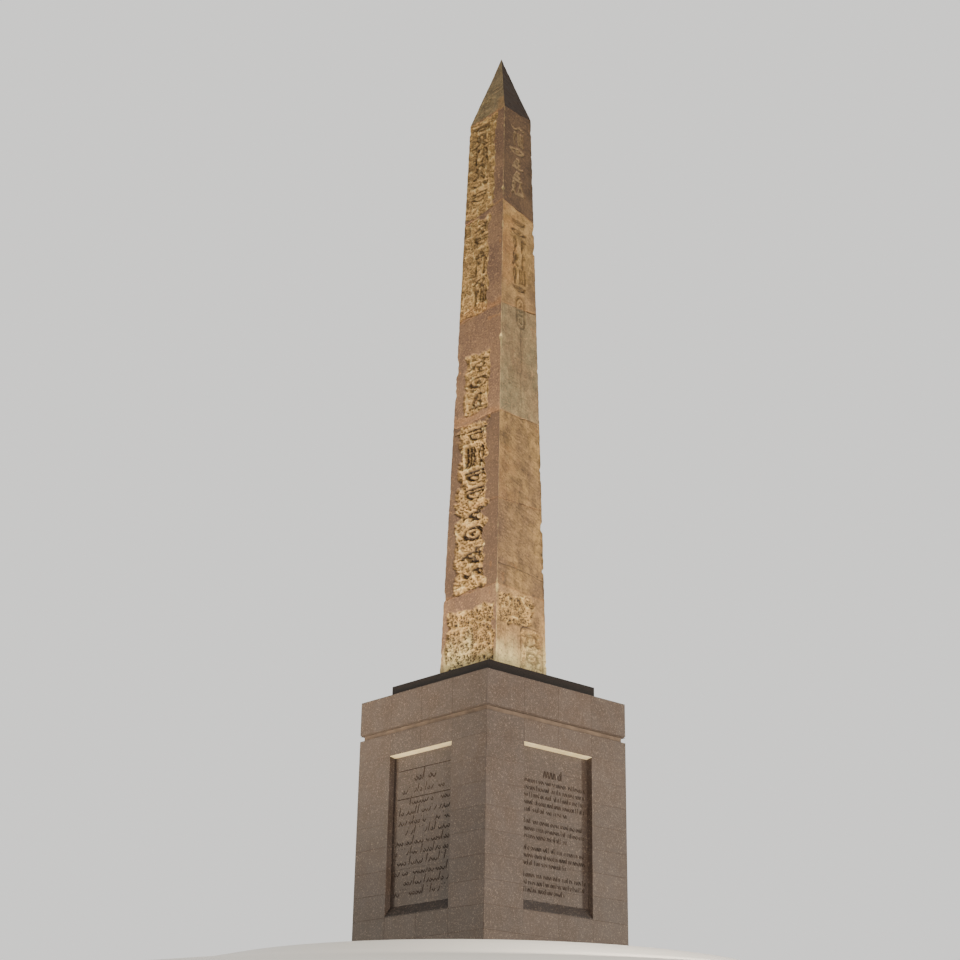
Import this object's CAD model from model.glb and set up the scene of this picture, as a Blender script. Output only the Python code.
"""A granite obelisk of carved, reassembled stones on a dark slab and a clad pedestal.

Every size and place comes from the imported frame. The front face looks towards -Y and the right
face towards +X. Faces are numbered 0 front, 1 right, 2 back and 3 left, each a quarter turn on
from the last, and a point on a face is given by u, metres to the right of its middle line as
seen from outside, and z, metres up.
"""

import math

import bpy
import numpy as np
from mathutils import Matrix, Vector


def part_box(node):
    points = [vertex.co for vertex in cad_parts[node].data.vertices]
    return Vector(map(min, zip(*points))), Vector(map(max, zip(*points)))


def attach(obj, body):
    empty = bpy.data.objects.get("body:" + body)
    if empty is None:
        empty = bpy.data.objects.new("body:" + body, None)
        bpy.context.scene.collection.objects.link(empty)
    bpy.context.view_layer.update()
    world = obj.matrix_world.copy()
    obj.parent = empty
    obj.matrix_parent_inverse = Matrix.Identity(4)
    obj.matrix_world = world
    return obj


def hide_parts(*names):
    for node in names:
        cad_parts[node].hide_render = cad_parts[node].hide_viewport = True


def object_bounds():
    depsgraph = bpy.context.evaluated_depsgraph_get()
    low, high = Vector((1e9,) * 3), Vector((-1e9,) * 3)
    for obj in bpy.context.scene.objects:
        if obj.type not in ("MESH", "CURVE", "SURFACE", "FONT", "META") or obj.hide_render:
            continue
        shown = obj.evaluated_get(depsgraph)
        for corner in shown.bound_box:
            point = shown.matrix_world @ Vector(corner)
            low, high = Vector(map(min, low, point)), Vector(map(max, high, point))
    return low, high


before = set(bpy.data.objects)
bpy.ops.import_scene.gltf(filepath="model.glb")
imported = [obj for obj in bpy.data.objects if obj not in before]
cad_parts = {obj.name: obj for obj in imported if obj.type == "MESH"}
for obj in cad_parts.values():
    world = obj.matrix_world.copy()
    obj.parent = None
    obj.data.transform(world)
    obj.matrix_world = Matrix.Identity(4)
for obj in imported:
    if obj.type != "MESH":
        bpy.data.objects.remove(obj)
cad_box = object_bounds()

MM = 0.001
SIDES = ("front", "right", "back", "left")
CORNERS = ("front_right", "back_right", "back_left", "front_left")

# ---------------------------------------------------------------- levels and widths from the frame

_, BAND_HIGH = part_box("base_band_front")
PANEL_LOW, PANEL_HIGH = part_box("inscribed_panel_front")
_, SILL_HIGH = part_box("sill_front")
SOFFIT_LOW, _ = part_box("soffit_front")
HEAD_LOW, HEAD_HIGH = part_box("head_band_front")
CORNICE_LOW, CORNICE_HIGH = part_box("cornice_front")
SLAB_LOW, SLAB_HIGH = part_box("base_slab")

FACE = BAND_HIGH.x
FACING = BAND_HIGH.y + FACE
RECESS_HALF = PANEL_HIGH.x
RECESS_DEPTH = FACE + PANEL_LOW.y
COURSE = HEAD_HIGH.z - HEAD_LOW.z
FOOT_Z = SLAB_HIGH.z

# ---------------------------------------------------------------- arrays and noise


def ease(t):
    """Smooth step: 0 below 0, 1 above 1, and 3t^2 - 2t^3 between."""
    t = np.clip(t, 0.0, 1.0)
    return t * t * (3.0 - 2.0 * t)


def mix(a, b, share):
    """The value a share of the way from a to b."""
    return a + (b - a) * share


def noise(a, b, cell, seed):
    """Smooth noise from -1 to 1: random values at lattice points cell apart, blended by ease."""
    table = np.random.default_rng(seed).uniform(-1.0, 1.0, (64, 64))
    p, q = np.broadcast_arrays(np.asarray(a) / cell, np.asarray(b) / cell)
    i, j = np.floor(p).astype(int), np.floor(q).astype(int)
    s, t = ease(p - i), ease(q - j)
    low = mix(table[i % 64, j % 64], table[(i + 1) % 64, j % 64], s)
    high = mix(table[i % 64, (j + 1) % 64], table[(i + 1) % 64, (j + 1) % 64], s)
    return mix(low, high, t)


def rough(a, b, cell, seed, octaves=4):
    """Sum of octaves of noise, each at half the cell and half the height of the last."""
    return sum(noise(a, b, cell / 2**k, seed + k) / 2**k for k in range(octaves))


def scoops(a, b, cell, seed):
    """Bowl-shaped hollows from 0 at the crests between them to 1 in their middles: it falls with
    the squared distance to the nearest of the random points, one in each lattice cell."""
    table = np.random.default_rng(seed).uniform(0.1, 0.9, (64, 64, 2))
    p, q = np.broadcast_arrays(np.asarray(a) / cell, np.asarray(b) / cell)
    i, j = np.floor(p).astype(int), np.floor(q).astype(int)
    nearest = np.full(p.shape, 9.0)
    for k in (-1, 0, 1):
        for m in (-1, 0, 1):
            spot = table[(i + k) % 64, (j + m) % 64]
            distance = (p - i - k - spot[..., 0]) ** 2 + (q - j - m - spot[..., 1]) ** 2
            nearest = np.minimum(nearest, distance)
    return np.clip(1 - nearest / 0.5, 0, 1)


def crests(a, b, cell, seed, octaves=3):
    """Sharp-crested noise from 0 to 1: one minus the size of each octave, squared and averaged."""
    layers = [(1 - abs(noise(a, b, cell / 2**k, seed + k))) ** 2 / 2**k for k in range(octaves)]
    return sum(layers) / (2 - 0.5 ** (octaves - 1))


# ---------------------------------------------------------------- meshes


def on_face(face, u, out, z):
    """World points of face coordinates: the front's (u, -out, z) turned by quarter turns."""
    u, out, z = np.broadcast_arrays(u, out, z)
    x, y = [(u, -out), (out, u), (-u, out), (-out, -u)][face]
    return np.stack([x, y, z], axis=-1)


def tube_faces(rows, columns):
    """Quads of a grid of points held row by row, its last column joined to its first."""
    i, j = np.arange(rows - 1)[:, None], np.arange(columns)[None, :]
    k = (j + 1) % columns
    quads = [i * columns + j, i * columns + k, (i + 1) * columns + k, (i + 1) * columns + j]
    return np.stack(quads, axis=-1).reshape(-1, 4)


def tube_caps(rows, columns):
    """The two closing polygons of a tube of rings: its first ring turned round, and its last."""
    ring = np.arange(columns)
    return [ring[::-1], (rows - 1) * columns + ring]


class Tubes:
    """Closed tubes of rings gathered for one mesh, each with a material number and a tone."""

    def __init__(self):
        self.points, self.quads, self.indices, self.tones = [], [], [], []
        self.caps, self.cap_indices = [], []
        self.count = 0

    def add(self, rings, index=0, tone=0.0):
        """Adds one tube from an array of rings x points x 3."""
        rows, columns = rings.shape[:2]
        quads = tube_faces(rows, columns) + self.count
        self.points.append(rings.reshape(-1, 3))
        self.quads.append(quads)
        self.caps += [cap + self.count for cap in tube_caps(rows, columns)]
        self.indices.append(np.full(len(quads), index))
        self.cap_indices += [index, index]
        self.tones.append(np.full(rows * columns, tone))
        self.count += rows * columns

    def piece(self, name, materials, replaced, slot):
        """The gathered tubes as one flat-shaded piece that stands for some CAD nodes."""
        indices = np.concatenate([*self.indices, self.cap_indices])
        tone = {"tone": np.concatenate(self.tones)}
        made = make_piece(name, np.concatenate(self.points), np.concatenate(self.quads), self.caps,
                          materials, indices, tone, smooth=False)
        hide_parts(*replaced)
        return made


def make_mesh(name, points, quads, caps, smooth=True):
    """A mesh from an array of points, an array of quads and closing polygons of any size."""
    mesh = bpy.data.meshes.new(name)
    corners = np.concatenate([quads.ravel(), *caps]).astype(np.int32)
    sizes = np.array([4] * len(quads) + [len(cap) for cap in caps])
    mesh.vertices.add(points.size // 3)
    mesh.vertices.foreach_set("co", points.astype(np.float32).ravel())
    mesh.loops.add(len(corners))
    mesh.loops.foreach_set("vertex_index", corners)
    mesh.polygons.add(len(sizes))
    mesh.polygons.foreach_set("loop_start", np.cumsum(sizes) - sizes)
    mesh.polygons.foreach_set("use_smooth", np.full(len(sizes), smooth))
    return mesh


def make_piece(name, points, quads, caps, materials, indices, attributes, smooth=True):
    """A piece of the object from such a mesh, with float attributes on its points."""
    mesh = make_mesh(name, points, quads, caps, smooth)
    for material in materials:
        mesh.materials.append(material)
    mesh.polygons.foreach_set("material_index", np.asarray(indices, np.int32))
    for key, values in attributes.items():
        layer = mesh.attributes.new(key, "FLOAT", "POINT")
        layer.data.foreach_set("value", values.astype(np.float32).ravel())
    mesh.update(calc_edges=True)
    made = bpy.data.objects.new(name, mesh)
    bpy.context.scene.collection.objects.link(made)
    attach(made, "root")
    return made


# ---------------------------------------------------------------- materials


def linear(hex_colour):
    """Linear RGBA of an sRGB hex colour."""
    channels = [int(hex_colour[i : i + 2], 16) / 255 for i in (1, 3, 5)]
    return [c / 12.92 if c <= 0.04045 else ((c + 0.055) / 1.055) ** 2.4 for c in channels] + [1.0]


def per(size_mm):
    """The texture scale of a pattern whose blotches are about size_mm across."""
    return 0.6 / (size_mm * MM)


def add_node(tree, kind, inputs, output=0, **settings):
    """Adds a node with its settings, fills its inputs with numbers, hex colours or other nodes'
    sockets, and returns one of its outputs."""
    node = tree.nodes.new("ShaderNode" + kind)
    for name, value in settings.items():
        setattr(node, name, value)
    for socket, value in inputs.items():
        if isinstance(value, bpy.types.NodeSocket):
            tree.links.new(value, node.inputs[socket])
        else:
            node.inputs[socket].default_value = linear(value) if isinstance(value, str) else value
    return node.outputs[output]


def new_material(name, roughness, ior=1.5):
    """A node material with one shader, its tree, the shader and its object coordinates."""
    material = bpy.data.materials.new(name)
    material.use_nodes = True
    tree = material.node_tree
    shader = tree.nodes["Principled BSDF"]
    shader.inputs["Roughness"].default_value = roughness
    shader.inputs["IOR"].default_value = ior
    return material, tree, shader, add_node(tree, "TexCoord", {}, "Object")


def rose_granite():
    """Ancient red granite, hammer-dressed, then weathered: dull pinkish brown where it is still
    smooth, tawny gold where the skin has gone, rusty along the beds, dark dirt in the cuts, with
    coarse crystals all over."""
    material, tree, shader, place = new_material("weathered_rose_granite", 0.82)
    worn, grey, rust, hollow, pale = [
        add_node(tree, "Attribute", {}, "Fac", attribute_name=name)
        for name in ("worn", "grey", "rust", "hollow", "pale")
    ]
    clouds = add_node(tree, "TexNoise", {"Vector": place, "Scale": per(420), "Detail": 4.0})
    clouds = add_node(tree, "MapRange", {"Value": clouds, "From Min": 0.36, "From Max": 0.64})
    stains = add_node(tree, "TexNoise", {"Vector": place, "Scale": per(150), "Detail": 5.0})
    stains = add_node(tree, "MapRange", {"Value": stains, "From Min": 0.4, "From Max": 0.62})
    # Rain runs are stretched about four and a half times up the stone
    tall = add_node(tree, "Mapping", {"Vector": place, "Scale": (1.0, 1.0, 0.22)})
    runs = add_node(tree, "TexNoise", {"Vector": tall, "Scale": per(70), "Detail": 5.0})
    runs = add_node(tree, "MapRange", {"Value": runs, "From Min": 0.5, "From Max": 0.68,
                                       "To Max": 0.4})
    # Real crystals are 8 to 20 mm: they are drawn about 26 mm across so that they show from afar
    crystals = add_node(tree, "TexNoise", {"Vector": place, "Scale": per(26), "Detail": 3.0})
    dark = add_node(tree, "MapRange", {"Value": crystals, "From Min": 0.34, "From Max": 0.44,
                                       "To Min": 0.5, "To Max": 0.0})
    light = add_node(tree, "MapRange", {"Value": crystals, "From Min": 0.56, "From Max": 0.66,
                                        "To Min": 0.0, "To Max": 0.4})
    smooth, golden, olive = [
        add_node(tree, "Mix", {0: blend, 6: one, 7: other}, 2, data_type="RGBA")
        for blend, one, other in ((clouds, "#604B3D", "#735B46"), (stains, "#AF8F5A", "#80673C"),
                                  (stains, "#83775A", "#6C644C"))
    ]
    stone = smooth
    for mask, colour in (
        (worn, golden), (grey, olive), (rust, "#96693C"), (pale, "#D2C490"), (runs, "#5A4534"),
        (dark, "#3F3026"), (light, "#B48F68"), (hollow, "#2C2018"),
    ):
        stone = add_node(tree, "Mix", {0: mask, 6: stone, 7: colour}, 2, data_type="RGBA")
    tree.links.new(stone, shader.inputs["Base Color"])
    pits = add_node(tree, "TexNoise", {"Vector": place, "Scale": per(14), "Detail": 4.0})
    normal = add_node(tree, "Bump", {"Height": pits, "Distance": 7 * MM, "Strength": 0.8})
    tree.links.new(normal, shader.inputs["Normal"])
    return material


def grey_granite():
    """Grey-brown granite facing, flamed: a dull warm grey with black mica and pale feldspar
    grains, each slab a little lighter or darker than its neighbours."""
    material, tree, shader, place = new_material("flamed_grey_granite", 0.6)
    tone = add_node(tree, "Attribute", {}, "Fac", attribute_name="tone")
    clouds = add_node(tree, "TexNoise", {"Vector": place, "Scale": per(260), "Detail": 3.0})
    clouds = add_node(tree, "MapRange", {"Value": clouds, "From Min": 0.38, "From Max": 0.64})
    body = add_node(tree, "Mix", {0: tone, 6: "#221C1B", 7: "#4C403A"}, 2, data_type="RGBA")
    warm = add_node(tree, "Mix", {0: clouds, 6: "#FFFFFF", 7: "#F1E2D2"}, 2, data_type="RGBA")
    body = add_node(tree, "Mix", {0: 1.0, 6: body, 7: warm}, 2, data_type="RGBA",
                    blend_type="MULTIPLY")
    # Real grains are 3 to 8 mm: they are drawn 15 to 20 mm across so that they show from afar
    mica = add_node(tree, "TexNoise", {"Vector": place, "Scale": per(15), "Detail": 3.0})
    dark = add_node(tree, "MapRange", {"Value": mica, "From Min": 0.36, "From Max": 0.46,
                                       "To Min": 0.6, "To Max": 0.0})
    body = add_node(tree, "Mix", {0: dark, 6: body, 7: "#2E2622"}, 2, data_type="RGBA")
    feldspar = add_node(tree, "TexNoise", {"Vector": place, "Scale": per(20), "Detail": 2.0,
                                           "Distortion": 1.5})
    light = add_node(tree, "MapRange", {"Value": feldspar, "From Min": 0.57, "From Max": 0.66,
                                        "To Min": 0.0, "To Max": 0.5})
    body = add_node(tree, "Mix", {0: light, 6: body, 7: "#7F7165"}, 2, data_type="RGBA")
    tree.links.new(body, shader.inputs["Base Color"])
    normal = add_node(tree, "Bump", {"Height": mica, "Distance": 2 * MM, "Strength": 0.6})
    tree.links.new(normal, shader.inputs["Normal"])
    return material


def pale_granite():
    """Honed cream granite: light, with faint warm clouds, small grains and a soft sheen."""
    material, tree, shader, place = new_material("honed_cream_granite", 0.45)
    clouds = add_node(tree, "TexNoise", {"Vector": place, "Scale": per(200), "Detail": 3.0})
    clouds = add_node(tree, "MapRange", {"Value": clouds, "From Min": 0.38, "From Max": 0.62})
    body = add_node(tree, "Mix", {0: clouds, 6: "#F0E1B8", 7: "#E3D09F"}, 2, data_type="RGBA")
    grains = add_node(tree, "TexNoise", {"Vector": place, "Scale": per(14), "Detail": 2.0})
    dark = add_node(tree, "MapRange", {"Value": grains, "From Min": 0.34, "From Max": 0.44,
                                       "To Min": 0.35, "To Max": 0.0})
    body = add_node(tree, "Mix", {0: dark, 6: body, 7: "#A08C68"}, 2, data_type="RGBA")
    tree.links.new(body, shader.inputs["Base Color"])
    return material


def two_tone(name, roughness, ior, patches, colours, grain):
    """A finish whose colour drifts between two in soft patches, with a fine grain in relief.

    Patches are their size in mm, their detail, and the two noise values between which the colour
    drifts. The grain is its size in mm, its detail, its height in mm and its strength.
    """
    material, tree, shader, place = new_material(name, roughness, ior)
    size, detail, first, last = patches
    drift = add_node(tree, "TexNoise", {"Vector": place, "Scale": per(size), "Detail": detail})
    drift = add_node(tree, "MapRange", {"Value": drift, "From Min": first, "From Max": last})
    body = add_node(tree, "Mix", {0: drift, 6: colours[0], 7: colours[1]}, 2, data_type="RGBA")
    tree.links.new(body, shader.inputs["Base Color"])
    if grain:
        size, detail, height, strength = grain
        bumps = add_node(tree, "TexNoise", {"Vector": place, "Scale": per(size), "Detail": detail})
        normal = add_node(tree, "Bump", {"Height": bumps, "Distance": height * MM,
                                         "Strength": strength})
        tree.links.new(normal, shader.inputs["Normal"])
    return material


ROSE = rose_granite()
GREY = grey_granite()
PALE = pale_granite()

# Honed black-brown granite: nearly black with a faint brown grain and a satin gloss
BLACK = two_tone("honed_black_granite", 0.38, 1.35, (14, 3.0, 0.4, 0.62), ("#0F0C0B", "#211A18"),
                 (300, 2.0, 1, 0.3))

# Cement mortar, pointed and dirty: dark brown-grey, granular and quite matt
MORTAR = two_tone("dirty_cement_mortar", 0.95, 1.5, (12, 3.0, 0.0, 1.0), ("#3F3530", "#584B43"),
                  (12, 3.0, 2, 0.7))

# Lime render, brushed and stained: a mid brown with darker patches and a sandy grain
RENDER = two_tone("stained_brown_render", 0.9, 1.5, (180, 4.0, 0.35, 0.65), ("#463B34", "#5E5147"),
                  (8, 2.0, 2, 0.6))

# Black stone paint in the letter strokes: matt, almost black, a little uneven
PAINT = two_tone("black_stone_paint", 0.95, 1.35, (60, 4.0, 0.35, 0.7), ("#1F1916", "#382E28"),
                 None)

# Cast concrete, left rough: mid grey with soft clouds and a sandy surface
CONCRETE = two_tone("cast_concrete", 0.9, 1.5, (400, 4.0, 0.0, 1.0), ("#86827B", "#A6A197"),
                    (10, 2.0, 2, 0.5))

# ---------------------------------------------------------------- pedestal facing

JOINT = 5 * MM  # width of a joint between slabs
PANEL_JOINT = 2 * MM  # the same between the slabs of a panel
MITRE_GAP = 1.5 * MM  # half the joint on the corner of the pedestal
SET_BACK = 4 * MM  # depth of the mortar behind the slab faces
ARRIS = 2 * MM  # chamfer along the edges of a slab
DRIP = 30 * MM  # chamfer under the cornice
NOSE = 14 * MM  # height of the front edge of a sill
FLAG_THICK = 30 * MM  # thickness of the flags on the deck
BAYS = (-FACE, -RECESS_HALF, 0.0, RECESS_HALF, FACE)
PANEL_FACE = FACE - RECESS_DEPTH
slab_tones = np.random.default_rng(11)


def inset(profile, depth):
    """A closed profile moved inwards all round, each corner along its two edges' normals."""
    edges = np.roll(profile, -1, axis=0) - profile
    normals = np.stack([edges[:, 1], -edges[:, 0]], axis=-1)
    normals /= np.linalg.norm(normals, axis=1)[:, None]
    before = np.roll(normals, 1, axis=0)
    return profile - depth * (normals + before) / (1 + (normals * before).sum(axis=1))[:, None]


def bar(face, profile, left, right, left_mitre=0, right_mitre=0, chamfer=0.0):
    """Rings of a stone along a face: a profile of (out, z) points carried from right to left.

    A chamfer gives each end an inset ring. A mitre of 1 runs an end back at 45 degrees, so that
    it meets the stone on the next face.
    """
    profile = np.asarray(profile)
    ends = [(right, profile, -right_mitre), (left, profile, left_mitre)]
    if chamfer:
        small = inset(profile, chamfer)
        ends = [
            (right, small, -right_mitre), (right - chamfer, profile, -right_mitre),
            (left + chamfer, profile, left_mitre), (left, small, left_mitre),
        ]
    return np.stack([
        on_face(face, u + lean * (FACE - section[:, 0]), section[:, 0], section[:, 1])
        for u, section, lean in ends
    ])


def upright(inner, outer, low, high, foot=ARRIS, head=ARRIS):
    """Profile of an upright slab with its two front edges chamfered."""
    return [(inner, low), (outer - foot, low), (outer, low + foot), (outer, high - head),
            (outer - head, high), (inner, high)]


def course(stones, face, low, high, breaks, outer=FACE, thick=FACING, gap=JOINT, tone=0.5,
           spread=0.1, foot=ARRIS, head=ARRIS):
    """A course of slabs between the breaks along a face, each with its own tone.

    Above the ground it lies on a bed of mortar, and mortar fills its upright joints. Where a
    break is a corner of the pedestal, the slab is mitred.
    """
    inner = outer - thick
    left_mitre, right_mitre = int(breaks[0] == -FACE), int(breaks[-1] == FACE)
    foot_z = low + gap if low > 0 else low
    for left, right in zip(breaks, breaks[1:]):
        at_left, at_right = left == breaks[0], right == breaks[-1]
        start = left + (MITRE_GAP * left_mitre if at_left else gap / 2)
        end = right - (MITRE_GAP * right_mitre if at_right else gap / 2)
        stones.add(bar(face, upright(inner, outer, foot_z, high, foot, head), start, end,
                       left_mitre * at_left, right_mitre * at_right, ARRIS),
                   0, tone + slab_tones.uniform(-spread, spread))
        if not at_right:
            mortar = outer - SET_BACK
            filling = [(inner, foot_z), (mortar, foot_z), (mortar, high), (inner, high)]
            stones.add(bar(face, filling, end, end + gap), 1)
    if low > 0:
        bed = [(inner, low), (outer - SET_BACK, low), (outer - SET_BACK, foot_z), (inner, foot_z)]
        stones.add(bar(face, bed, breaks[0] + SET_BACK * (1 - left_mitre),
                       breaks[-1] - SET_BACK * (1 - right_mitre), left_mitre, right_mitre), 1)


def courses(low, high):
    """Foot and head of each course between two levels."""
    levels = np.linspace(low, high, round((high - low) / COURSE) + 1)
    return list(zip(levels, levels[1:]))


for face, side in enumerate(SIDES):
    band = Tubes()
    for low, high in courses(0.0, PANEL_LOW.z):
        course(band, face, low, high, BAYS)
    band.piece(f"band_slabs_{side}", [GREY, MORTAR], [f"base_band_{side}"], "grey_granite")

    pier = Tubes()
    next_face = (face + 1) % 4
    for low, high in courses(PANEL_LOW.z, PANEL_HIGH.z):
        course(pier, face, low, high, (RECESS_HALF, FACE))
        course(pier, next_face, low, high, (-FACE, -RECESS_HALF))
    corner = CORNERS[face]
    pier.piece(f"pier_slabs_{corner}", [GREY, MORTAR], [f"corner_pier_{corner}"], "grey_granite")

    panel = Tubes()
    for low, high in courses(PANEL_LOW.z, PANEL_HIGH.z):
        course(panel, face, low, high, (-RECESS_HALF, 0.0, RECESS_HALF), PANEL_FACE,
               FACING - RECESS_DEPTH, PANEL_JOINT, tone=0.42, spread=0.03)
    panel.piece(f"panel_slabs_{side}", [GREY, MORTAR], [f"inscribed_panel_{side}"], "grey_granite")

    sill, soffit = Tubes(), Tubes()
    foot_z, head_z = PANEL_LOW.z + JOINT, PANEL_HIGH.z
    sill_profile = [(PANEL_FACE, foot_z), (FACE - ARRIS, foot_z), (FACE, foot_z + ARRIS),
                    (FACE, foot_z + NOSE), (PANEL_FACE, SILL_HIGH.z)]
    sill_bed = [(PANEL_FACE, PANEL_LOW.z), (FACE - SET_BACK, PANEL_LOW.z),
                (FACE - SET_BACK, foot_z), (PANEL_FACE, foot_z)]
    soffit_profile = [(PANEL_FACE, SOFFIT_LOW.z), (FACE, head_z - NOSE / 2), (FACE, head_z),
                      (PANEL_FACE, head_z)]
    for left, right in ((-RECESS_HALF, 0.0), (0.0, RECESS_HALF)):
        start, end = left + JOINT / 4, right - JOINT / 4
        sill.add(bar(face, sill_profile, start, end, chamfer=ARRIS), 0, 0.06)
        soffit.add(bar(face, soffit_profile, start, end, chamfer=ARRIS / 2))
    sill.add(bar(face, sill_bed, -RECESS_HALF, RECESS_HALF), 1)
    sill.piece(f"sill_stones_{side}", [GREY, MORTAR], [f"sill_{side}"], "grey_granite")
    soffit.piece(f"soffit_stones_{side}", [PALE], [f"soffit_{side}"], "pale_granite")

    head = Tubes()
    course(head, face, HEAD_LOW.z, HEAD_HIGH.z, BAYS)
    head.piece(f"head_slabs_{side}", [GREY, MORTAR], [f"head_band_{side}"], "grey_granite")

    cornice = Tubes()
    course(cornice, face, CORNICE_LOW.z, CORNICE_HIGH.z, BAYS, thick=CORNICE_HIGH.y + FACE,
           tone=0.56, foot=DRIP, head=2 * ARRIS)
    cornice.piece(f"cornice_stones_{side}", [GREY, MORTAR], [f"cornice_{side}"], "grey_granite")


def block(low_x, high_x, low_y, high_y, sections):
    """Rings of an upright block from (z, inset) sections, its outline cut at the corners."""
    outline = np.array([
        (low_x, low_y + ARRIS), (low_x + ARRIS, low_y),
        (high_x - ARRIS, low_y), (high_x, low_y + ARRIS),
        (high_x, high_y - ARRIS), (high_x - ARRIS, high_y),
        (low_x + ARRIS, high_y), (low_x, high_y - ARRIS),
    ])
    rings = [np.column_stack([inset(outline, depth), np.full(8, z)]) for z, depth in sections]
    return np.stack(rings)


def deck_flags():
    """The top of the pedestal: four by four chamfered flags on a bed of mortar."""
    low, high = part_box("pedestal_deck")
    lines = np.linspace(low.x, high.x, 5)
    bed_z = high.z - FLAG_THICK
    flags = Tubes()
    for west, east in zip(lines, lines[1:]):
        for south, north in zip(lines, lines[1:]):
            edges = (west + JOINT / 2, east - JOINT / 2, south + JOINT / 2, north - JOINT / 2)
            sections = ((bed_z, 0.0), (high.z - ARRIS, 0.0), (high.z, ARRIS))
            flags.add(block(*edges, sections), 0, 0.5 + slab_tones.uniform(-0.1, 0.1))
    flags.add(block(low.x, high.x, low.y, high.y, ((low.z, 0.0), (bed_z, 0.0))), 1)
    flags.piece("deck_flags", [GREY, MORTAR], ["pedestal_deck"], "grey_granite")


def dark_slab():
    """The honed slab under the obelisk: a block with a small plinth groove at its foot and a
    quarter-round nosing, each ring of which is inset by radius (1 - cos t) at radius sin t."""
    radius, groove = 16 * MM, 10 * MM
    turn = np.linspace(0, math.pi / 2, 7)
    nosing = zip(SLAB_HIGH.z - radius + radius * np.sin(turn), radius * (1 - np.cos(turn)))
    foot = [(SLAB_LOW.z, groove), (SLAB_LOW.z + groove, groove), (SLAB_LOW.z + 1.5 * groove, 0.0)]
    slab = Tubes()
    slab.add(block(SLAB_LOW.x, SLAB_HIGH.x, SLAB_LOW.y, SLAB_HIGH.y, [*foot, *nosing]))
    slab.piece("honed_base_slab", [BLACK], ["base_slab"], "black_granite")


deck_flags()
dark_slab()

KEPT_NODES = {"concrete_core": CONCRETE, "core_cap": CONCRETE, "shadow_gap_course": RENDER}
for node, finish in KEPT_NODES.items():
    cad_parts[node].material_slots[0].material = finish

# ---------------------------------------------------------------- inscriptions
# Rows of made-up strokes that spell nothing, painted and standing a hair proud of the panels

PROUD = 2 * MM  # how far the strokes stand out, and how deep they reach into the panel
STROKE_WIDTH = 0.24  # width of a stroke as a share of the row's height
RULE_WIDTH = 18 * MM
STROKE_STEPS = np.linspace(0, 1, 6)
UPRIGHT_STROKES = (
    lambda t: (0.2 + 0 * t, 1.45 * t),
    lambda t: (0.5 + 0 * t, t),
    lambda t: (0.1 + 0.75 * t, np.sin(math.pi * t)),
    lambda t: (0.1 + 0.75 * t, 1 - np.sin(math.pi * t)),
    lambda t: (0.45 + 0.38 * np.sin(5.2 * t), 0.5 + 0.5 * np.cos(5.2 * t)),
    lambda t: (0.1 + 0.75 * t, 0.5 + 0.45 * np.sin(2 * math.pi * t)),
)
FLOWING_STROKES = (
    lambda t: (t, 0.5 - 0.55 * np.sin(math.pi * t)),
    lambda t: (t, 0.25 + 0.3 * np.sin(2.5 * math.pi * t)),
    lambda t: (0.3 + 0.5 * t, 1.9 * t),
    lambda t: (0.15 + 0.8 * t, 0.9 * t**2),
    lambda t: (0.5 + 0.35 * np.sin(5 * t), 0.35 + 0.35 * np.cos(5 * t)),
    lambda t: (0.4 + 0.14 * t, 1.35 + 0.12 * t),
)


def stroke(face, path, width, proud):
    """Rings of a raised stroke: a path of (u, z) points carried as a flat bar on the panel,
    whose sides lie half a width off the path along its own normal."""
    step = np.gradient(path, axis=0)
    side = np.stack([-step[:, 1], step[:, 0]], axis=-1)
    side *= width / 2 / np.linalg.norm(side, axis=1)[:, None]
    left, right = path + side, path - side
    corners = [(left, -PROUD), (left, proud), (right, proud), (right, -PROUD)]
    return np.stack([
        on_face(face, edge[:, 0], PANEL_FACE + out, edge[:, 1]) for edge, out in corners
    ], axis=1)


def write_row(marks, face, left, right, z, letter, height, shapes, draw):
    """A row of strokes in words of three to eight, from left to right. Neighbours stand a
    little more or less proud, so that none share a plane where they cross."""
    u, in_word = left, draw.integers(3, 9)
    while u + letter < right:
        x, y = shapes[draw.integers(len(shapes))](STROKE_STEPS)
        path = np.column_stack([u + x * letter, z + y * height])
        marks.add(stroke(face, path, height * STROKE_WIDTH, PROUD * (1 + 0.2 * (in_word % 3))))
        u += letter * draw.uniform(0.85, 1.05)
        in_word -= 1
        if in_word == 0:
            u += letter * 0.7
            in_word = draw.integers(3, 9)


def upright_rows(marks, face, draw):
    """A short heading and five paragraphs of small upright strokes."""
    write_row(marks, face, -0.32, 0.32, PANEL_HIGH.z - 0.64, 0.095, 0.14, UPRIGHT_STROKES, draw)
    pitch, z = 0.154, PANEL_HIGH.z - 0.80
    for paragraph in (5, 3, 3, 3, 1):
        for row in range(paragraph):
            end = 0.4 if row == paragraph - 1 and paragraph > 1 else 0.93
            write_row(marks, face, -0.93, RECESS_HALF * end, z, 0.056, 0.074, UPRIGHT_STROKES, draw)
            z -= pitch
        z -= 0.6 * pitch


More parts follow.
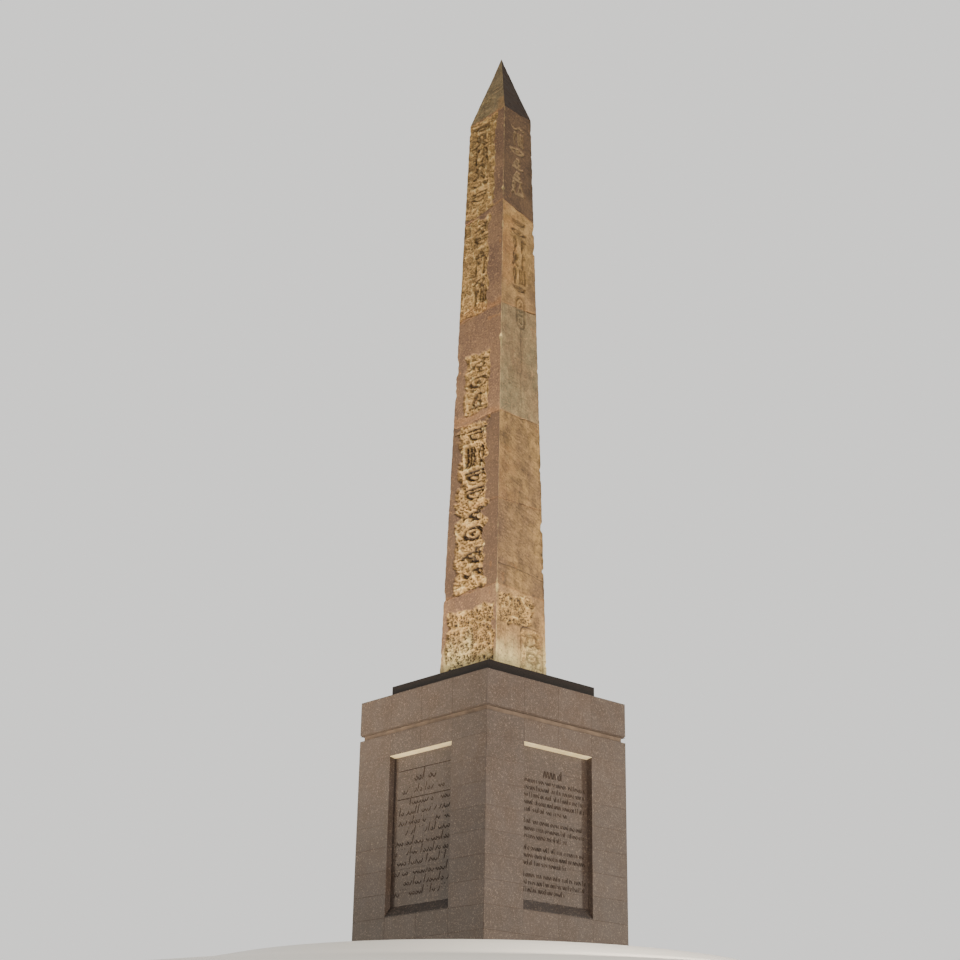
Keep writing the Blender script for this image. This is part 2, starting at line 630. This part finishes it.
def flowing_rows(marks, face, draw):
    """Two heading rows between two rules, then ten rows of joined, slanting strokes with dots."""
    for z in (PANEL_HIGH.z - 0.36, PANEL_HIGH.z - 0.98):
        ruled = np.column_stack([np.linspace(-0.86, 0.86, 3), np.full(3, z)])
        marks.add(stroke(face, ruled, RULE_WIDTH, PROUD * 0.8))
    write_row(marks, face, -0.34, 0.4, PANEL_HIGH.z - 0.62, 0.13, 0.13, FLOWING_STROKES, draw)
    write_row(marks, face, -0.72, 0.80, PANEL_HIGH.z - 0.87, 0.10, 0.09, FLOWING_STROKES, draw)
    for z in np.linspace(PANEL_HIGH.z - 1.12, SILL_HIGH.z + 0.2, 10):
        start = -0.92 if draw.uniform() < 0.7 else -0.6
        write_row(marks, face, start, 0.92, z, 0.10, 0.095, FLOWING_STROKES, draw)


for face, side in enumerate(SIDES):
    marks = Tubes()
    rows = flowing_rows if face % 2 == 0 else upright_rows
    rows(marks, face, np.random.default_rng(300 + face))
    marks.piece(f"inscription_{side}", [PAINT], [], "dark_joint")

# ---------------------------------------------------------------- carved signs
# Each sign is a signed distance in a square from -1 to 1: negative inside the cut, x to the
# right and y up. They are made-up shapes that spell nothing.


def disc(x, y, radius):
    """Distance to a disc about the origin."""
    return np.hypot(x, y) - radius


def rod(x, y, ax, ay, bx, by, radius):
    """Distance to a round-ended rod from a to b: to the nearest point of the segment."""
    dx, dy = bx - ax, by - ay
    share = np.clip(((x - ax) * dx + (y - ay) * dy) / (dx * dx + dy * dy), 0, 1)
    return np.hypot(x - ax - share * dx, y - ay - share * dy) - radius


def either(*distances):
    """The nearest of several shapes."""
    return np.minimum.reduce(distances)


def ring_and_dot(x, y):
    """A ring round a small disc."""
    return either(abs(disc(x, y, 0.72)) - 0.16, disc(x, y, 0.26))


def leaf(x, y):
    """A tall leaf, where two discs overlap, on a short stem."""
    blade = np.maximum(disc(x + 0.52, y - 0.15, 1.0), disc(x - 0.52, y - 0.15, 1.0))
    return either(blade, rod(x, y, 0, -0.55, 0, -0.95, 0.14))


def ripples(x, y):
    """Two zigzag lines, one above the other."""
    zigzag = 0.24 * (2 * abs((x * 1.6) % 1.0 - 0.5) * 2 - 1)
    lines = either(abs(y - 0.45 - zigzag) - 0.17, abs(y + 0.45 - zigzag) - 0.17)
    return np.maximum(lines, abs(x) - 0.95)


def loaf(x, y):
    """The upper half of a disc."""
    return np.maximum(disc(x, y + 0.45, 0.95), -(y + 0.45))


def bowl(x, y):
    """The lower half of a disc under a thin rim."""
    half_disc = np.maximum(disc(x, y - 0.3, 0.9), y - 0.3)
    return either(half_disc, rod(x, y, -0.9, 0.58, 0.9, 0.58, 0.12))


def crook(x, y):
    """A staff with a bent head."""
    bend = np.maximum(abs(disc(x - 0.3, y - 0.5, 0.34)) - 0.14, -(y - 0.45))
    return either(rod(x, y, -0.04, -0.9, -0.04, 0.5, 0.16), bend)


def heron(x, y):
    """A standing bird: an oval body, a small head with a beak, a tail and two legs."""
    body = np.hypot((x + 0.15 * y) / 0.68, (y - 0.02) / 0.4) * 0.45 - 0.45
    neck = rod(x, y, 0.34, 0.2, 0.44, 0.66, 0.19)
    beak = rod(x, y, 0.5, 0.7, 0.9, 0.58, 0.1)
    tail = rod(x, y, -0.45, -0.05, -0.92, -0.36, 0.17)
    legs = either(rod(x, y, -0.05, -0.3, 0.0, -0.9, 0.09), rod(x, y, 0.2, -0.3, 0.3, -0.9, 0.09))
    return either(body, neck, beak, tail, legs, rod(x, y, -0.05, -0.92, 0.6, -0.92, 0.09))


def almond(x, y):
    """A pointed oval outline with a round centre."""
    outline = np.maximum(disc(x, y + 0.65, 1.2), disc(x, y - 0.65, 1.2))
    return either(abs(outline) - 0.13, disc(x, y, 0.26))


def worm(x, y):
    """A wavy line with a thicker head."""
    line = np.maximum(abs(y - 0.4 * np.sin(3.6 * x)) - 0.2, abs(x) - 0.9)
    return either(line, disc(x - 0.8, y - 0.1, 0.3))


def wedge(x, y):
    """A triangle outline."""
    return abs(np.maximum(abs(x) * 0.86 + y * 0.5 - 0.42, -y - 0.62)) - 0.17


def pennant(x, y):
    """A pole with a pennant."""
    cloth = np.maximum(abs(y - 0.6) - 0.32 * (0.95 - x), abs(x - 0.4) - 0.45)
    return either(rod(x, y, -0.2, -0.92, -0.2, 0.9, 0.15), cloth)


def pickets(x, y):
    """Three short upright rods."""
    return either(*[rod(x, y, k, -0.75, k, 0.75, 0.19) for k in (-0.62, 0.0, 0.62)])


def tied_rods(x, y):
    """Two crossed rods under a ring."""
    cross = either(rod(x, y, -0.6, -0.85, 0.4, 0.2, 0.16), rod(x, y, 0.6, -0.85, -0.4, 0.2, 0.16))
    return either(cross, abs(disc(x, y - 0.48, 0.36)) - 0.14)


def seated_lump(x, y):
    """A rounded seated shape: a large and a small disc joined by a leaning rod, on a base."""
    trunk = rod(x, y, -0.15, -0.2, 0.1, 0.55, 0.3)
    return either(trunk, disc(x + 0.1, y + 0.38, 0.5), rod(x, y, -0.7, -0.85, 0.75, -0.85, 0.12))


def long_loop(x, y):
    """A tall rounded loop with three small shapes inside."""
    loop = np.hypot(x * 0.9, np.maximum(abs(y) - 0.5, 0)) - 0.44
    inside = either(disc(x, y - 0.5, 0.19), rod(x, y, -0.2, 0.1, 0.2, 0.1, 0.09),
                    rod(x, y, -0.2, -0.15, 0.2, -0.15, 0.09), disc(x, y + 0.55, 0.17))
    return either(abs(loop) - 0.09, inside)


BOLDER = 9 * MM  # how far each outline is widened
WIDE_SIGNS = (heron, almond, seated_lump, bowl, ring_and_dot, tied_rods, heron, worm)
LOW_SIGNS = (ripples, worm, bowl, loaf, almond)
NARROW_SIGNS = (leaf, crook, pennant, pickets, tied_rods, wedge)


def sign_column(left, right, foot, head, seed):
    """Signs down a column: one wide, one low or two narrow ones at a time, until it is full.

    Each is a sign with the middle and the half sizes of its cell.
    """
    draw = np.random.default_rng(seed)
    half, middle, z = (right - left) / 2, (right + left) / 2, head
    placed = []
    while True:
        kind = draw.integers(0, 4)
        high = half * (0.76, 0.42, 0.84, 0.66)[kind] * draw.uniform(0.85, 1.1)
        if z - 2 * high < foot:
            return placed
        if kind == 2:
            for shift in (-0.5, 0.5):
                sign = NARROW_SIGNS[draw.integers(len(NARROW_SIGNS))]
                placed.append((sign, middle + shift * half, z - high, half * 0.5, high))
        else:
            signs = LOW_SIGNS if kind == 1 else WIDE_SIGNS
            sign = signs[draw.integers(len(signs))]
            placed.append((sign, middle, z - high, half * draw.uniform(0.85, 1.0), high))
        z -= 2 * high + half * 0.1


def sunk_signs(u, z, placed, depth):
    """Depth of sunk relief: full depth just inside each outline, rising again to a rounded body
    in the middle of broad shapes."""
    cut = np.zeros_like(u)
    for sign, mid_u, mid_z, half_u, half_z in placed:
        near = (abs(u - mid_u) < half_u * 1.2) & (abs(z - mid_z) < half_z * 1.2)
        if near.any():
            reach = -sign((u[near] - mid_u) / half_u, (z[near] - mid_z) / half_z)
            inside = BOLDER + reach * min(half_u, half_z)
            wall = ease(inside / 0.014 + 0.4)
            body = 1 - 0.85 * ease((inside - 0.026) / 0.05)
            cut[near] = np.maximum(cut[near], depth * wall * body)
    return cut


# ---------------------------------------------------------------- the stones of the obelisk

STONES = (
    "foot_block", "shaft_block_2", "shaft_block_3", "shaft_block_4", "shaft_block_5",
    "neck_block", "pyramidion",
)
ARRIS_SIDES = ((-1, -1), (1, -1), (1, 1), (-1, 1))
CELL = 15 * MM  # spacing of the points on a stone
TIP = 0.998  # share of the pyramidion's height at which its point is closed
BED_WEAR = (0.007, 0.026)  # least width of the wear along a bed, and its width at a deep chip
ARRIS_WEAR = (0.014, 0.055)  # the same along an upright arris
NO_BED = 9.0  # stands for the distance to a bed where a stone has none
SIDE_WORN = (0.75, 0.80, 0.95, 0.5, 0.9, 0.15, 0.0)  # golden share of the sides, stone by stone
SIDE_DIRT = (0.0, 0.75, 0.75, 0.15, 0.15, 1.15, 2.1)  # dirt on the sides, stone by stone


def arris_ends(node):
    """Lowest and highest corner on each arris of a stone, front left first, as 4 x 2 x 3. The
    arrises of the pyramidion all end at its apex."""
    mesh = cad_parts[node].data
    flat = np.empty(len(mesh.vertices) * 3, np.float32)
    mesh.vertices.foreach_get("co", flat)
    corners = np.unique(flat.reshape(-1, 3).astype(float).round(5), axis=0)
    ends = []
    for side_x, side_y in ARRIS_SIDES:
        own = corners[(corners[:, 0] * side_x > 0.01) & (corners[:, 1] * side_y > 0.01)]
        own = own[np.argsort(own[:, 2])]
        high = own[-1] if len(own) > 1 else corners[np.argmax(corners[:, 2])]
        ends.append([own[0], high])
    return np.array(ends)


ENDS = [arris_ends(node) for node in STONES]
BEDS = [ends[:, 0, 2].mean() - FOOT_Z for ends in ENDS] + [ENDS[-1][0, 1, 2] - FOOT_Z]


def up(stone, share):
    """Height above the dark slab of a share of the way up a stone."""
    return mix(BEDS[stone], BEDS[stone + 1], share)


class Skin:
    """The surface of one face: its depth below the dressed face, the depth of its signs, and the
    masks of its finish. Where it is worn it is golden, and sign_dirt darkens its signs."""

    def __init__(self, u, z, half, seed):
        self.u, self.z, self.half, self.seed = u, z, half, seed
        self.depth = 0.006 * (1 + rough(u, z, 0.5, seed))
        self.depth = self.depth + 0.002 * (1 + rough(u, z, 0.09, seed + 9, 2))
        self.signs = np.zeros_like(u)
        self.worn, self.grey, self.rust = np.zeros_like(u), np.zeros_like(u), np.zeros_like(u)
        self.dirt, self.pale = np.zeros_like(u), np.zeros_like(u)
        self.sign_dirt = 0.72

    def area(self, foot, head, left, right, fray=0.07, soft=0.035):
        """Mask of a frayed rectangle between two heights and two shares of the half width."""
        ragged = fray * rough(self.u, self.z, 0.22, self.seed + 21)
        inside = np.minimum.reduce([
            self.u - left * self.half, right * self.half - self.u, self.z - foot, head - self.z,
        ])
        return ease((inside + ragged) / soft + 0.5)

    def roughen(self, mask, floor, height, size):
        """Lowers an area to broken stone: scoops of a size and smaller ones, below a floor, with
        deeper pits where both are deep. Its old dirt goes, its crests are pale, and new dirt
        gathers in the middles of its scoops."""
        drift = 0.3 * size * rough(self.u, self.z, 1.5 * size, self.seed + 33)
        wide = scoops(self.u + drift, 0.8 * self.z - drift, size, self.seed + 31)
        fine = scoops(self.u - drift, self.z, 0.4 * size, self.seed + 35)
        broken = 0.65 * wide + 0.35 * fine
        self.depth += mask * (floor + height * broken)
        self.worn = np.maximum(self.worn, mask)
        pits = ease((fine - 0.66) / 0.2) * ease(3 * wide - 0.8)
        self.dirt *= 1 - mask
        self.dirt += mask * min(height / 0.03, 1.0) * (ease(1.8 * broken - 0.9) + 0.6 * pits)
        self.depth += mask * 0.25 * height * pits
        self.pale += 0.6 * mask * ease(1 - 2.5 * broken)

    def furrow(self, size, depth):
        """Long shallow furrows that fall to the right along the face, between lower crests:
        crested noise, stretched threefold along their slope, where it passes 0.4."""
        along, across = 0.93 * self.u - 0.37 * self.z, 0.93 * self.z + 0.37 * self.u
        waves = crests(along, 3 * across, size, self.seed + 61)
        fine = crests(along, 3 * across, 0.35 * size, self.seed + 66)
        self.depth += depth * np.clip(waves - 0.4, 0, 1) + 0.35 * depth * fine
        self.dirt += 0.3 * ease((waves - 0.62) / 0.2) + 0.5 * ease((fine - 0.7) / 0.15)

    def carve(self, foot, head, left, right, depth):
        """Cuts a column of signs between two heights, its edges in half widths at its middle."""
        half = self.half_at((foot + head) / 2)
        placed = sign_column(left * half, right * half, foot, head, self.seed + round(10 * foot))
        self.cut(placed, depth)

    def cut(self, placed, depth):
        """Cuts placed signs, their outlines wavering a little, and clears dirt from them."""
        sideways = 0.022 * noise(self.u, self.z, 0.16, self.seed + 71)
        upwards = 0.022 * noise(self.u, self.z, 0.16, self.seed + 72)
        cut = sunk_signs(self.u + sideways, self.z + upwards, placed, depth)
        self.signs = np.maximum(self.signs, cut)
        self.dirt *= 1 - 0.75 * ease(cut / 0.02)

    def half_at(self, height):
        """Half the width of the face at a height, from its fall between two of its rows."""
        rise = self.z[-1].mean() - self.z[0].mean()
        share = (height - self.z[0].mean()) / rise
        return mix(self.half[0, 0], self.half[-1, 0], share)

    def crack(self, wander, distance, foot_width, depth):
        """An open dirty crack: a groove where the distance from its wandering line is small."""
        groove = ease(1 - abs(distance - wander) / foot_width)
        self.depth += depth * groove
        self.dirt += groove


def front_skin(skin, stone):
    """Front and back: a smooth skin with a broad rough column up it and bold sunk signs, then a
    small sunk patch, and golden broken stone over most of the two stones below the point."""
    if stone == 0:
        skin.roughen(skin.area(up(0, 0.04), up(0, 0.80), -0.82, 0.86), 0.004, 0.052, 0.13)
        skin.dirt *= 1.9
    if stone in (1, 2):
        skin.dirt += 1.05
        skin.roughen(skin.area(up(1, 0.03), up(2, 0.98), -0.66, 0.46, 0.11), 0.006, 0.070, 0.18)
        skin.carve(up(1, 0.05), up(1, 0.98), -0.44, 0.36, 0.066)
        skin.carve(up(2, 0.02), up(2, 0.93), -0.46, 0.38, 0.066)
    if stone == 3:
        skin.roughen(skin.area(up(3, 0.06), up(3, 0.60), -0.55, 0.46, 0.05), 0.012, 0.042, 0.13)
        skin.carve(up(3, 0.08), up(3, 0.58), -0.46, 0.40, 0.050)
        skin.rust += 0.35 * skin.area(up(3, 0.0), up(3, 0.05), -1.2, 1.2, 0.1, 0.2)
    if stone == 4:
        skin.roughen(skin.area(up(4, -0.02), up(4, 0.99), -1.5, 0.29), 0.003, 0.030, 0.11)
        skin.carve(up(4, 0.02), up(4, 0.96), -0.46, 0.24, 0.044)
        skin.rust += 0.5 * skin.area(up(4, -0.05), up(4, 0.05), -1.2, 1.2, 0.12, 0.25)
    if stone == 5:
        skin.roughen(skin.area(up(5, 0.01), up(5, 0.975), -1.5, 0.5), 0.003, 0.030, 0.11)
        skin.carve(up(5, 0.04), up(5, 0.95), -0.80, 0.14, 0.042)
    if stone == 6:
        skin.grey += 0.75
        skin.worn += 0.5
        skin.roughen(skin.area(up(6, -0.05), up(6, 0.30), -1.4, 0.35), 0.002, 0.008, 0.07)
        for share in (0.36, 0.44):
            skin.crack(up(6, share) + 0.14 * skin.u, skin.z, 0.028, 0.018)
        skin.carve(up(6, 0.10), up(6, 0.34), -0.75, 0.15, 0.016)
        skin.grey -= 0.7 * skin.area(up(6, -0.1), up(6, 0.22), 0.55, 1.5, 0.06, 0.2)


def side_skin(skin, stone):
    """Right and left: no rough column, but a golden skin, a greyish fourth stone, and a narrow
    column of signs on the two stones below the point, with a long loop across a bed."""
    u, z, half = skin.u, skin.z, skin.half
    mottled = 0.8 + 0.45 * rough(u, 0.6 * z, 0.7, skin.seed + 5)
    skin.worn += mottled * SIDE_WORN[stone]
    skin.dirt += SIDE_DIRT[stone]
    skin.dirt += 0.5 * ease(rough(u, 0.7 * z, 0.5, skin.seed + 6) - 0.15)
    skin.furrow(0.30, 0.020)
    if stone == 0:
        skin.roughen(skin.area(up(0, 0.62), up(0, 0.97), -0.92, 0.5), 0.004, 0.052, 0.13)
        skin.dirt *= 1.9
        panel_half, panel_high, corner = 0.44 * half, 0.27 * BEDS[1], 0.16
        over_u = np.maximum(abs(u - 0.42 * half) - panel_half + corner, 0)
        over_z = np.maximum(abs(z - up(0, 0.36)) - panel_high + corner, 0)
        skin.crack(corner, np.hypot(over_u, over_z), 0.03, 0.026)
        skin.roughen(skin.area(up(0, 0.12), up(0, 0.60), 0.05, 0.80), 0.003, 0.034, 0.10)
        skin.carve(up(0, 0.15), up(0, 0.60), 0.16, 0.76, 0.040)
    if stone == 1:
        skin.furrow(0.5, 0.036)
        wander = up(1, 0.25) - 0.05 * u + 0.02 * noise(u, 0.0, 0.2, skin.seed + 62)
        skin.crack(wander, z, 0.022, 0.018)
    if stone == 2:
        skin.furrow(0.65, 0.026)
        skin.carve(up(2, 0.60), up(2, 0.92), -0.35, 0.25, 0.009)
        skin.rust += 0.25 * skin.area(up(2, 0.0), up(2, 0.6), -1.3, -0.3, 0.3, 0.5)
    if stone == 3:
        skin.grey += 0.95 * mottled
        skin.carve(up(3, 0.25), up(3, 0.72), -0.62, 0.05, 0.010)
        split = skin.area(up(3, 0.2), up(3, 0.85), -1, 1, 0.02, 0.1)
        skin.crack(0.08 * half + 0.02 * noise(z, 0.0, 0.3, skin.seed + 64), u, 0.022, 0.016 * split)
    if stone == 4:
        skin.rust += 0.45 * skin.area(up(4, 0.25), up(4, 1.0), -1.3, -0.25, 0.25, 0.5)
        skin.carve(up(4, 0.17), up(4, 0.97), -0.42, 0.46, 0.044)
    if stone == 5:
        skin.carve(up(5, 0.13), up(5, 0.90), -0.48, 0.42, 0.034)
        skin.sign_dirt = 0.1
        skin.pale += 0.16 * ease(skin.signs / 0.02)
    if stone == 6:
        skin.rust += 0.6 * skin.area(up(6, -0.1), up(6, 0.24), 0.25, 1.5, 0.06, 0.3)
    skin.cut([(long_loop, 0.06, up(4, 0.0), 0.30, 0.44)], 0.032)


def worn_leg(along, seed, least, most):
    """Width of the wear along an arris: small and even, with deep chips where noise peaks."""
    peaks = np.clip(rough(along, 0.0, 0.35, seed, 3) - 0.62, 0, 1) / 0.5
    return least * (1 + 0.5 * noise(along, 0.0, 0.09, seed + 7)) + (most - least) * peaks


def spaced(length, last=1.0):
    """Shares of a length from 0 to last: close together at both ends, then about a cell apart."""
    ends = np.array([0.0, 0.006, 0.014]) / length
    inner = np.linspace(0.028 / length, last - 0.028 / length, max(4, round(length / CELL)))
    return np.concatenate([ends, inner, last - ends[::-1]])


def unit(vector):
    """A vector made one long."""
    return vector / np.linalg.norm(vector)


def bed_wander(face, u, bed):
    """How far a bed joint wanders up and down along a face, the same for the stones above and
    below it."""
    return 0.010 * noise(u + 3 * face, 2.0 * bed, 0.3, 7) if 0 < bed < 6 else 0 * u


def stone_face(stone, face, rows):
    """Points and masks of one face of a stone, without the column on its right-hand arris.

    A point is a share along the face between two arrises and a share up between two beds. It
    moves inwards by the relief and by the open bed joint and, near an arris, to a worn bevel.
    """
    low, high = ENDS[stone][:, 0], ENDS[stone][:, 1]
    after = (face + 1) % 4
    t = rows[:, None]
    low_width = np.linalg.norm(low[after] - low[face])
    high_width = np.linalg.norm(high[after] - high[face])
    share = spaced((low_width + high_width) / 2)[None, :-1]
    foot = mix(low[face], low[after], share[..., None])
    head = mix(high[face], high[after], share[..., None])
    point = mix(foot, head, t[..., None])
    along = unit(low[after] - low[face])
    outward = unit(np.cross(along, high[face] - low[face]))
    before = unit(np.cross(low[face] - low[face - 1], high[face] - low[face]))

    half = mix(low_width, high_width, t) / 2 + 0 * share
    u = (share - 0.5) * 2 * half
    from_left, from_right = u + half, half - u
    wander = mix(bed_wander(face, u, stone), bed_wander(face, u, stone + 1), t)
    point[..., 2] += wander * ease(np.minimum(from_left, from_right) / 0.15)
    z = point[..., 2] - FOOT_Z
    skin = Skin(u, z, half, 100 * (face + 1))
    (front_skin if face % 2 == 0 else side_skin)(skin, stone)

    tall = (high - low)[:, 2].mean()
    to_low = t * tall if stone > 0 else NO_BED + 0 * t
    to_high = (1 - t) * tall if stone < 6 else NO_BED + 0 * t
    to_bed = np.minimum(to_low, to_high) + 0 * u
    joint = np.maximum(worn_leg(u + 5 * face + 2 * stone, 40 + stone, *BED_WEAR) - to_bed, 0)
    faded = ease(np.minimum(from_left, from_right) / 0.03)
    sunk = (skin.depth + skin.signs) * faded + joint
    normal = np.broadcast_to(outward, point.shape).copy()
    normal[:, 0] = outward + before
    room = ease(half / 0.12)
    left_leg = np.maximum(room * worn_leg(z, 60 + face, *ARRIS_WEAR) - from_left, 0) / 2
    right_leg = np.maximum(room * worn_leg(z, 60 + after, *ARRIS_WEAR) - from_right, 0) / 2
    point = point - normal * sunk[..., None]
    point += left_leg[..., None] * (along - outward) - right_leg[..., None] * (along + outward)

    chipped = 0.8 * np.clip((left_leg + right_leg) / 0.009, 0, 1)
    bed_stain = 0.4 * ease(1 - to_bed / (0.05 + 0.04 * rough(u, z, 0.3, 80 + face)))
    bleached = 0.95 * ease((1.05 - z) / 1.0 + 0.35 * rough(u, 0.3 * z, 0.3, skin.seed + 41))
    masks = {
        "worn": np.maximum(skin.worn, chipped),
        "grey": skin.grey,
        "rust": np.maximum(skin.rust, bed_stain) * (to_bed < NO_BED - 1),
        "hollow": skin.sign_dirt * skin.signs / 0.05 + 0.45 * skin.dirt + 0.4 * joint / 0.014,
        "pale": skin.pale + 0.6 * chipped + bleached,
    }
    return point, {key: np.clip(mask, 0, 1) for key, mask in masks.items()}


def carved_stone(stone):
    """A stone as a tube of points round its four faces, from bed to bed, closed at both ends."""
    tall = (ENDS[stone][:, 1] - ENDS[stone][:, 0])[:, 2].mean()
    rows = spaced(tall, TIP if stone == 6 else 1.0)
    parts = [stone_face(stone, face, rows) for face in range(4)]
    points = np.concatenate([point for point, _ in parts], axis=1)
    masks = {key: np.concatenate([m[key] for _, m in parts], axis=1) for key in parts[0][1]}
    caps = tube_caps(*points.shape[:2])
    quads = tube_faces(*points.shape[:2])
    made = make_piece(f"{STONES[stone]}_carved", points, quads, caps, [ROSE],
                      np.zeros(len(quads) + 2), masks)
    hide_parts(STONES[stone])


for stone in range(len(STONES)):
    carved_stone(stone)

# ---------------------------------------------------------------- stage, light and camera

FLOOR_EDGE = 4.6  # radius at which the floor starts to fall
FLOOR_SLOPE = 0.15
FLOOR_END = 48.0  # radius at which it is level again


def studio_floor():
    """The pale floor as a surface of revolution: level under the object, then falling gently
    away as a wide cone, so that the low camera stands above it, and level again far out."""
    slope = np.linspace(FLOOR_EDGE, FLOOR_END, 60)
    radius = np.concatenate([[0.02, 1.5, 3.0, 4.2], slope, [80.0, 160.0, 320.0]])[::-1, None]
    angle = np.linspace(0, 2 * math.pi, 145)[None, :-1]
    beyond = np.clip(radius, FLOOR_EDGE, FLOOR_END) - FLOOR_EDGE
    drop = FLOOR_SLOPE * beyond * ease(beyond / 3.0)
    points = np.stack([radius * np.cos(angle), radius * np.sin(angle), 0 * angle - drop], axis=-1)
    rows, columns = points.shape[:2]
    middle = tube_caps(rows, columns)[1:]
    mesh = make_mesh("studio_floor", points, tube_faces(rows, columns), middle)
    mesh.update(calc_edges=True)
    material, tree, shader, place = new_material("pale_studio_floor", 0.9)
    clouds = add_node(tree, "TexNoise", {"Vector": place, "Scale": per(2500), "Detail": 2.0})
    tint = add_node(tree, "Mix", {0: clouds, 6: "#ECEAE4", 7: "#F3F1EC"}, 2, data_type="RGBA")
    tree.links.new(tint, shader.inputs["Base Color"])
    mesh.materials.append(material)
    floor = bpy.data.objects.new("studio_floor", mesh)
    bpy.context.scene.collection.objects.link(floor)


def soft_light(name, azimuth, elevation, distance, size, power, colour, spread=180):
    """A square soft light that faces the middle of the object from an azimuth, an elevation and
    a distance; azimuth 0 is in front and 90 to the right. Its spread is the angle of its beam."""
    a, e = math.radians(azimuth), math.radians(elevation)
    data = bpy.data.lights.new(name, "AREA")
    data.size, data.energy, data.color = size, power, linear(colour)[:3]
    data.spread = math.radians(spread)
    lamp = bpy.data.objects.new(name, data)
    lamp.visible_camera = False
    bpy.context.scene.collection.objects.link(lamp)
    middle = (cad_box[0].z + cad_box[1].z) / 2
    lamp.location = (
        distance * math.sin(a) * math.cos(e), -distance * math.cos(a) * math.cos(e),
        middle + distance * math.sin(e),
    )
    lamp.rotation_euler = (math.pi / 2 - e, 0, a)


studio_floor()
# Three keys a little below the middle of the object, and a wide fill behind it
soft_light("left_key", -44, -14, 34, 5, 4300, "#FFEFD8")
soft_light("right_key", 68, -14, 34, 5, 6400, "#FFEFD8")
soft_light("far_right_key", 140, -14, 34, 5, 6500, "#FFEFD8")
soft_light("back_fill", 228, 20, 46, 16, 9000, "#F6F6FF")
# Two low narrow floods light the shaft steeply from below, and hardly touch the pedestal
soft_light("front_flood", -25, -42, 18, 3, 820, "#FFE9C8", 60)
soft_light("right_flood", 112, -42, 18, 3, 300, "#FFE9C8", 60)
# A low wide lamp reaches under the cornice and into the right recess
soft_light("foot_fill", 64, -42, 16, 2, 1000, "#FFF0DC")

# A wide weak sun lights the floor evenly
sun_data = bpy.data.lights.new("overhead", "SUN")
sun_data.energy, sun_data.angle = 0.7, math.radians(60)
sun = bpy.data.objects.new("overhead", sun_data)
sun.rotation_euler = (math.radians(25), 0, math.radians(200))
bpy.context.scene.collection.objects.link(sun)

# The surround is pale where the camera sees it, and dimmer as a light, so that carving shows
world = bpy.data.worlds.new("soft_surround")
world.use_nodes = True
tree = world.node_tree
seen = add_node(tree, "LightPath", {}, "Is Camera Ray")
strength = add_node(tree, "MapRange", {"Value": seen, "To Min": 0.5, "To Max": 1.4})
tree.nodes["Background"].inputs["Color"].default_value = linear("#E4E3E0")
tree.links.new(strength, tree.nodes["Background"].inputs["Strength"])
bpy.context.scene.world = world

# The camera stands low, to the front right, and looks up at the obelisk, a little tilted
camera_data = bpy.data.cameras.new("camera")
camera_data.sensor_width = 36.0
camera_data.lens = 65.4
camera_data.clip_end = 500.0
camera = bpy.data.objects.new("camera", camera_data)
bpy.context.scene.collection.objects.link(camera)
camera.matrix_world = (
    Matrix.Translation((28.22, -25.95, CORNICE_HIGH.z - 10.10))
    @ Matrix.Rotation(math.radians(47.96), 4, "Z")
    @ Matrix.Rotation(math.radians(90 + 22.07), 4, "X")
    @ Matrix.Rotation(math.radians(0.98), 4, "Z")
)
bpy.context.scene.camera = camera
